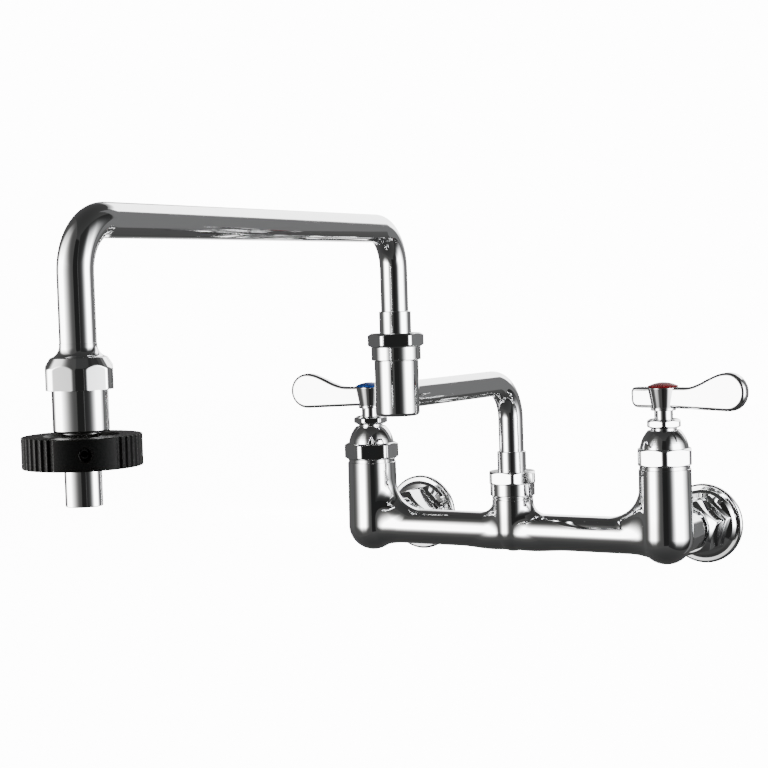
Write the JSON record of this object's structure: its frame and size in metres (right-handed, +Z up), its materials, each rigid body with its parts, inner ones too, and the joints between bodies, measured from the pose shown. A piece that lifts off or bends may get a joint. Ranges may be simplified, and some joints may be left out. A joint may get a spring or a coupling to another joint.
{
  "type": "wall faucet",
  "caption": "Wall-mounted mixing faucet: crossbar body with lever valves, double-jointed swinging spout, and a hand-wheel outlet valve over a plain nozzle.",
  "frame": {"origin": "on the wall plane, midway between the two inlets and at their height", "axes": "+X right seen from the front, +Y into the wall along the inlets, +Z up"},
  "size_m": [0.313, 0.5268, 0.2206],
  "materials": {
    "chrome": "polished chrome plate",
    "brass": "machined",
    "steel": "machined stainless steel",
    "rubber": "smooth",
    "packing": "smooth PTFE",
    "ceramic": "lapped alumina ceramic",
    "cold_blue": "moulded gloss",
    "hot_red": "moulded gloss",
    "black_plastic": "moulded, fine grain"
  },
  "bodies": {
    "base": {"mixing_body": "chrome", "riser_swivel_nut": "chrome", "left_wall_flange": "chrome", "left_union_nut": "chrome", "left_union_washer": "rubber", "left_tailpiece": "chrome", "left_bonnet": "chrome", "left_packing_nut": "chrome", "left_packing_ring": "packing", "left_cartridge_shell": "brass", "left_fixed_disc": "ceramic", "left_seat_seal": "rubber", "right_wall_flange": "chrome", "right_union_nut": "chrome", "right_union_washer": "rubber", "right_tailpiece": "chrome", "right_bonnet": "chrome", "right_packing_nut": "chrome", "right_packing_ring": "packing", "right_cartridge_shell": "brass", "right_fixed_disc": "ceramic", "right_seat_seal": "rubber"},
    "left_handle": {"left_lever_handle": "chrome", "left_index_button": "cold_blue", "left_handle_screw": "steel", "left_stem": "chrome", "left_stem_o_ring": "rubber", "left_moving_disc": "ceramic"},
    "right_handle": {"right_lever_handle": "chrome", "right_index_button": "hot_red", "right_handle_screw": "steel", "right_stem": "chrome", "right_stem_o_ring": "rubber", "right_moving_disc": "ceramic"},
    "lower_arm": {"lower_ferrule": "chrome", "lower_snap_ring": "steel", "lower_o_ring": "rubber", "lower_arm_tube": "chrome", "elbow_housing": "chrome", "elbow_swivel_nut": "chrome"},
    "upper_arm": {"upper_ferrule": "chrome", "upper_snap_ring": "steel", "upper_o_ring": "rubber", "upper_arm_tube": "chrome", "outlet_adaptor": "chrome", "outlet_barrel": "chrome", "outlet_o_ring": "rubber"},
    "outlet_plug": {"valve_plug": "brass", "plug_seal": "rubber", "plug_screw": "steel"},
    "outlet_stem": {"outlet_tube": "chrome", "hand_wheel": "black_plastic", "set_screw": "steel"}
  },
  "joints": [
    {"name": "left_lever", "type": "hinge", "parent": "base", "child": "left_handle", "pos_m": [-0.1016, -0.0675, 0], "axis": [0, 0, 1], "range_deg": [0, 90]},
    {"name": "right_lever", "type": "hinge", "parent": "base", "child": "right_handle", "pos_m": [0.1016, -0.0675, 0], "axis": [0, 0, 1], "range_deg": [-90, 0]},
    {"name": "lower_arm_swing", "type": "hinge", "parent": "base", "child": "lower_arm", "pos_m": [0, -0.0675, 0], "axis": [0, 0, 1], "range_deg": [-66, 74]},
    {"name": "upper_arm_swing", "type": "hinge", "parent": "lower_arm", "child": "upper_arm", "pos_m": [-0.00848, -0.19522, 0], "axis": [0, 0, 1], "range_deg": [-128, 112]},
    {"name": "outlet_lift", "type": "slide", "parent": "upper_arm", "child": "outlet_plug", "axis": [0, 0, 1], "range_m": [-0.002, 0]},
    {"name": "wheel_turn", "type": "hinge", "parent": "outlet_plug", "child": "outlet_stem", "pos_m": [0.01457, -0.50185, 0], "axis": [0, 0, 1], "range_deg": [-360, 0]}
  ],
  "couplings": [
    {"joint": "outlet_lift", "follows": "wheel_turn", "m_per_rad": 0.000318}
  ]
}
